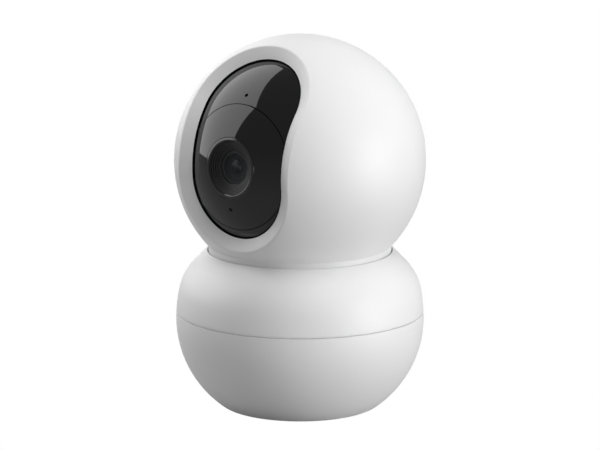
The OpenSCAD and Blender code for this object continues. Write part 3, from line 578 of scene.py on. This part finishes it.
# Broken edge between the cover and the lens face, which shows as a fine arc
EDGE = 0.12
COVER_END = 118
LENS_STEPS = 128
skin_inside = BALL_R - BALL_WALL
cover_edge = FACE_ANGLE + FACE_GAP
edge_turn = degrees(EDGE / BALL_R)
cover_rings = ([(BALL_R - EDGE, cover_edge), (BALL_R - EDGE * 0.3, cover_edge + edge_turn * 0.3)]
               + arc_rings(BALL_R, cover_edge + edge_turn, COVER_END, 56)
               + arc_rings(skin_inside, COVER_END, cover_edge, 40))
start, moves = around_lens(cover_rings)
cover = lathe(start, moves, steps=160, matrix=facing(LENS_UP))
for plane_co, plane_no in (((BALL_HALF_W * MM, 0, 0), (1, 0, 0)), ((-BALL_HALF_W * MM, 0, 0), (-1, 0, 0)),
                           ((0, BALL_BACK_Y * MM, 0), (0, 1, 0))):
    bmesh.ops.bisect_plane(cover, geom=cover.verts[:] + cover.edges[:] + cover.faces[:], plane_co=plane_co,
                           plane_no=plane_no, clear_outer=True)
    filled = bmesh.ops.edgeloop_fill(cover, edges=[e for e in cover.edges if e.is_boundary])
    bmesh.ops.triangulate(cover, faces=filled["faces"])
bmesh.ops.recalc_face_normals(cover, faces=cover.faces)
sharpen(cover)
ball_cover = piece("ball_cover", cover, BLACK_GLOSS, "ball", ["ball_front_cover"])
MIC_UP, LIGHT_UP, CARD_UP = 42.6, -17.5, -58.0
PINHOLE_R = 0.6
card_slot = block((12, 2.2, 20), (0, 0, 30), 1.0, along="Z")
bmesh.ops.transform(card_slot, matrix=facing(CARD_UP), verts=card_slot.verts)
cut(ball_cover, peg(PINHOLE_R, 60, facing(MIC_UP)), card_slot)
sphere_normals(ball_cover.data, BALL_R)

ring_angle = degrees(asin(RING_R / BALL_R))
ring_inside = degrees(asin(RING_R / skin_inside))
face_rings = ([(skin_inside, ring_inside), (BALL_R - EDGE, ring_angle),
               (BALL_R - EDGE * 0.3, ring_angle + edge_turn * 0.3)]
              + arc_rings(BALL_R, ring_angle + edge_turn, FACE_ANGLE - edge_turn, 30)
              + [(BALL_R - EDGE * 0.3, FACE_ANGLE - edge_turn * 0.3), (BALL_R - EDGE, FACE_ANGLE)]
              + arc_rings(skin_inside, FACE_ANGLE, ring_inside + 1, 16))
start, moves = around_lens(face_rings)
face = lathe(start, moves, steps=160, matrix=facing(LENS_UP))
lens_face = piece("lens_face_gloss", face, BLACK_GLOSS, "ball", ["lens_face"])
cut(lens_face, peg(PINHOLE_R, 60, facing(LIGHT_UP)))
sphere_normals(lens_face.data, BALL_R)

# Lens ring: a crowned rim with a thin lip inside it
glass_front_z = RING_FRONT - 1.9
ring_back_z = RING_FRONT - 2.6
GLASS_R = 5.2
ring = lathe((RING_R - 0.05, ring_back_z), [
    (RING_R - 0.05, RING_FRONT - 0.12), (RING_R - 0.12, RING_FRONT + 0.02), (RING_R - 0.3, RING_FRONT + 0.12),
    (RING_R - 0.6, RING_FRONT + 0.2), (LIP_R + 0.1, RING_FRONT + 0.22), (LIP_R - 0.05, RING_FRONT + 0.17),
    (LIP_R - 0.2, RING_FRONT), (LIP_R - 0.2, RING_FRONT - 0.4), (LIP_R, RING_FRONT - 0.4),
    (LIP_R, ring_back_z), (RING_R - 0.05, ring_back_z)], steps=LENS_STEPS, matrix=facing(LENS_UP))
piece("lens_ring_turned", ring, RING_SATIN, "ball", ["lens_ring"])

# Funnel in shallow steps from the lip down to the glass
FUNNEL_STEPS, STEP_DROP, STEP_IN = 4, 0.38, 0.58
funnel = [(LIP_R - 0.25, ring_back_z), (LIP_R - 0.25, RING_FRONT - 0.15), (LIP_R - 0.5, RING_FRONT - 0.2)]
for step in range(FUNNEL_STEPS):
    edge_r, edge_z = funnel[-1]
    funnel += [(edge_r - 0.05, edge_z - STEP_DROP * 0.7), (edge_r - STEP_IN, edge_z - STEP_DROP)]
funnel += [(GLASS_R + 0.05, glass_front_z), (GLASS_R + 0.05, ring_back_z), (LIP_R - 0.25, ring_back_z)]
baffle = lathe(funnel[0], funnel[1:], steps=LENS_STEPS, matrix=facing(LENS_UP))
piece("lens_funnel", baffle, BAFFLE_BLACK, "ball")

# Flat front glass with ground edges
GLASS_THICK, GROUND = 0.8, 0.15
glass_back_z = glass_front_z - GLASS_THICK
glass = lathe((0, glass_back_z), [
    (GLASS_R - GROUND, glass_back_z), (GLASS_R, glass_back_z + GROUND), (GLASS_R, glass_front_z - GROUND),
    (GLASS_R - GROUND, glass_front_z), (0, glass_front_z)], steps=96, matrix=facing(LENS_UP))
piece("lens_window", glass, OPTICAL_GLASS, "ball", ["front_glass"])

# Stepped stop behind the glass, as (radius, depth below the glass's front), down to the small front lens
STOP_STEPS = [(4.4, 0.9), (4.9, 0.9), (4.9, 2.0), (2.2, 2.0), (2.0, 1.85), (2.05, 1.7), (2.5, 1.6),
              (3.4, 1.5), (3.5, 1.3), (4.3, 1.2), (4.4, 0.9)]
stop_line = [(r, glass_front_z - depth) for r, depth in STOP_STEPS]
stop = lathe(stop_line[0], stop_line[1:], steps=96, matrix=facing(LENS_UP))
piece("lens_stop", stop, BAFFLE_BLACK, "ball")

# ---- finishes of the CAD nodes that show their own shape --------------------------------------

FINISHES = {
    ZINC_STEEL: ["ballast_plate", "deck_screws", "shell_screws", "pan_motor", "pan_motor_screws",
                 "retainer_screws", "yoke_screws", "tilt_motor", "frame_screws", "tilt_axle_left",
                 "tilt_axle_right"],
    TINNED_STEEL: ["shield_can", "microphone", "microsd_socket"],
    BRASS: ["tripod_insert"],
    SOLDER_MASK: ["power_board", "wifi_antenna", "sensor_board", "main_board", "ir_led_board"],
    EPOXY: ["reset_switch", "speaker", "pan_cable", "lens_holder", "image_sensor", "ir_leds"],
    RUBBER: ["speaker_gasket"],
    GREY_ABS: ["base_deck", "hub_retainer", "yoke"],
    ACETAL: ["pan_bush", "pan_pinion", "pan_gear", "tilt_bush_left", "tilt_bush_right", "tilt_pinion",
             "tilt_gear"],
    BLACK_ABS: ["ball_rear_cover", "ball_frame", "lens_barrel"],
    LENS_GLASS: ["lens_element_front", "lens_element_rear"],
    ACRYLIC: ["light_pipe", "status_led"],
}
for finish, names in FINISHES.items():
    for name in names:
        for material_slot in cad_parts[name].material_slots:
            material_slot.material = finish

# ---- camera, floor and light ------------------------------------------------------------------

AZIMUTH, ELEVATION = radians(39), radians(12.02)
TARGET = Vector((0, 0, 0.05728))
BACK = Vector((sin(AZIMUTH) * cos(ELEVATION), -cos(AZIMUTH) * cos(ELEVATION), sin(ELEVATION)))
RIGHT = Vector((cos(AZIMUTH), sin(AZIMUTH), 0))
ABOVE = BACK.cross(RIGHT)
lens = bpy.data.cameras.new("camera")
lens.lens = 192.9
lens.sensor_width = 36
camera = put("camera", lens)
camera.location = TARGET + BACK
camera.rotation_euler = BACK.to_track_quat("Z", "Y").to_euler()
bpy.context.scene.camera = camera


def softbox(name, spot, watts, size=(0.5, 0.5), mirrored=False):
    """A lamp that faces the head's centre, from a spot to the right of, above and in front of it."""
    lamp = bpy.data.lights.new(name, "AREA")
    lamp.shape, lamp.size, lamp.size_y, lamp.energy = "RECTANGLE", size[0], size[1], watts
    thing = put(name, lamp)
    thing.location = HEAD + RIGHT * spot[0] + ABOVE * spot[1] + BACK * spot[2]
    thing.rotation_euler = (thing.location - HEAD).to_track_quat("Z", "Y").to_euler()
    thing.visible_glossy = mirrored
    return thing


# Six lamps light the white plastic; of these, only the key is mirrored in the black gloss parts
softbox("key", (0.91, -0.15, 0.40), 11.5, mirrored=True)
softbox("front_top", (0.20, 0.80, 0.56), 4.0)
softbox("top", (0, 1, 0), 1.4)
softbox("back_top", (-0.50, 0.75, -0.40), 3.6)
softbox("back_left", (-0.85, 0.20, -0.50), 2.4)
softbox("left_fill", (-0.88, -0.15, 0.44), 0.8)

# A tall panel beside the object is what the black ball mirrors; only reflections see it
panel = softbox("left_panel", (0, 0, 0), 7.7, size=(1.15, 1.25), mirrored=True)
panel.location = HEAD + Vector((-0.6, -0.22, 0.60))
panel.rotation_euler = Vector((-1, 0, 0)).to_track_quat("Z", "Y").to_euler()
panel.visible_diffuse = False

world = bpy.data.worlds.new("studio")
bpy.context.scene.world = world
world.use_nodes = True
tree = world.node_tree
tree.nodes.clear()
rays = add_node(tree, "ShaderNodeLightPath")
# The room is dim above and a little lighter towards the ground; the camera itself sees a white backdrop
way = add_node(tree, "ShaderNodeTexCoord")
heights = add_node(tree, "ShaderNodeSeparateXYZ", None, {"Vector": way.outputs["Generated"]})
level = add_node(tree, "ShaderNodeMapRange",
                 {"From Min": -0.5, "From Max": 0.3, "To Min": 0.36, "To Max": 0.21},
                 {"Value": heights.outputs["Z"]})
room = add_node(tree, "ShaderNodeBackground", {"Color": [1, 1, 1, 1]}, {"Strength": level.outputs["Result"]})
backdrop = add_node(tree, "ShaderNodeBackground", {"Color": [1, 1, 1, 1], "Strength": 1.0})
both = add_node(tree, "ShaderNodeMixShader", None,
                {0: rays.outputs["Is Camera Ray"], 1: room.outputs[0], 2: backdrop.outputs[0]})
add_node(tree, "ShaderNodeOutputWorld", None, {"Surface": both.outputs[0]})

# Pale paper floor: it sends light up on the object, the camera sees it as white as the backdrop, and
# reflections don't see it
floor_bm = bmesh.new()
bmesh.ops.create_grid(floor_bm, x_segments=8, y_segments=8, size=1.5)
floor = solid("floor", floor_bm)
paper = bpy.data.materials.new("white_paper")
paper.use_nodes = True
tree = paper.node_tree
tree.nodes.clear()
seen = add_node(tree, "ShaderNodeLightPath")
sheet = add_node(tree, "ShaderNodeBsdfDiffuse", {"Color": linear("9E9E9E")})
glow = add_node(tree, "ShaderNodeEmission", {"Color": [1, 1, 1, 1], "Strength": 1.0})
mixed = add_node(tree, "ShaderNodeMixShader", None,
                 {0: seen.outputs["Is Camera Ray"], 1: sheet.outputs[0], 2: glow.outputs[0]})
add_node(tree, "ShaderNodeOutputMaterial", None, {"Surface": mixed.outputs[0]})
floor.data.materials.append(paper)
floor.visible_glossy = False

bpy.context.scene.view_settings.view_transform = "Standard"
